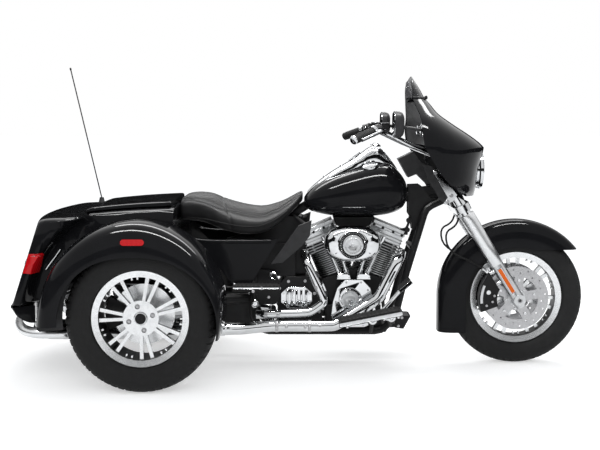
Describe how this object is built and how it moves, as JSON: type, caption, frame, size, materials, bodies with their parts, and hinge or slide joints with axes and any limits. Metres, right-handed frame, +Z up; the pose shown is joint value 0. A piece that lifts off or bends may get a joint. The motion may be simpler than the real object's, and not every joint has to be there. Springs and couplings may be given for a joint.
{
  "type": "touring trike",
  "caption": "Black motorized touring trike with a raked fork and fork-mounted fairing, an air-cooled V-twin, a two-up saddle and a wide faired trunk body between the rear wheels.",
  "frame": {"origin": "on the floor, under the middle of the length and width", "axes": "+X forward, +Y to the rider's left, +Z up"},
  "size_m": [2.67, 1.3946, 1.4097],
  "materials": {
    "black_paint": "gloss",
    "satin_black": "satin",
    "black_plastic": "matte",
    "chrome": "polished",
    "cast_alloy": "satin",
    "steel": "brushed",
    "tyre": "matte",
    "black_rubber": "matte",
    "black_leather": "satin",
    "red_lens": "gloss",
    "clear_lens": "clear",
    "smoked_screen": "smoked"
  },
  "bodies": {
    "chassis": {"frame": "satin_black", "steering_head": "satin_black", "crankcase": "satin_black", "cylinders": "satin_black", "rocker_covers": "cast_alloy", "cam_cover": "chrome", "pushrod_tubes": "chrome", "air_cleaner": "chrome", "gearbox": "satin_black", "gearbox_cover": "chrome", "primary_cover": "chrome", "exhaust": "chrome", "fuel_tank": "black_paint", "tank_console": "chrome", "seat": "black_leather", "side_covers": "black_paint", "air_deflectors": "black_plastic", "footboards": "black_rubber", "foot_controls": "chrome", "rear_axle": "satin_black", "rear_shocks": "satin_black", "rear_calipers": "satin_black", "trunk_body": "black_paint", "rear_fenders": "black_paint", "deck_cover": "black_paint", "tail_lamps": "red_lens", "rear_valance": "black_paint", "rear_bumper": "chrome", "antenna": "black_plastic", "battery_box": "satin_black", "regulator": "satin_black"},
    "trunk_door": {"trunk_door": "black_paint", "door_hinges": "chrome"},
    "steering": {"triple_clamps": "satin_black", "fork_tubes": "chrome", "fork_sliders": "cast_alloy", "front_axle": "steel", "front_fender": "black_paint", "front_calipers": "satin_black", "brake_hoses": "black_rubber", "fairing_outer": "black_paint", "fairing_inner": "black_plastic", "windscreen": "smoked_screen", "headlamp": "chrome", "headlamp_lens": "clear_lens", "fairing_brackets": "chrome", "handlebar": "chrome", "grips": "black_rubber", "hand_controls": "chrome", "mirrors": "black_plastic", "steering_cover": "black_plastic"},
    "front_wheel": {"front_tyre": "tyre", "front_wheel": "cast_alloy", "front_discs": "steel"},
    "rear_wheel_right": {"rear_tyre_right": "tyre", "rear_wheel_right": "cast_alloy"},
    "rear_wheel_left": {"rear_tyre_left": "tyre", "rear_wheel_left": "cast_alloy"}
  },
  "joints": [
    {"name": "steering_turn", "type": "hinge", "parent": "chassis", "child": "steering", "pos_m": [1.117, 0, 0], "axis": [-0.4384, 0, 0.8988], "range_deg": [-35, 35]},
    {"name": "front_wheel_spin", "type": "hinge", "parent": "steering", "child": "front_wheel", "pos_m": [1.017, 0, 0.318], "axis": [0, 1, 0], "continuous": true},
    {"name": "rear_wheel_right_spin", "type": "hinge", "parent": "chassis", "child": "rear_wheel_right", "pos_m": [-0.675, -0.55, 0.322], "axis": [0, 1, 0], "continuous": true},
    {"name": "rear_wheel_left_spin", "type": "hinge", "parent": "chassis", "child": "rear_wheel_left", "pos_m": [-0.675, 0.55, 0.322], "axis": [0, 1, 0], "continuous": true},
    {"name": "trunk_door_hinge", "type": "hinge", "parent": "chassis", "child": "trunk_door", "pos_m": [-1.2277, 0.403, 0.5], "axis": [-0.3168, 0, -0.9485], "range_deg": [0, 95]}
  ]
}
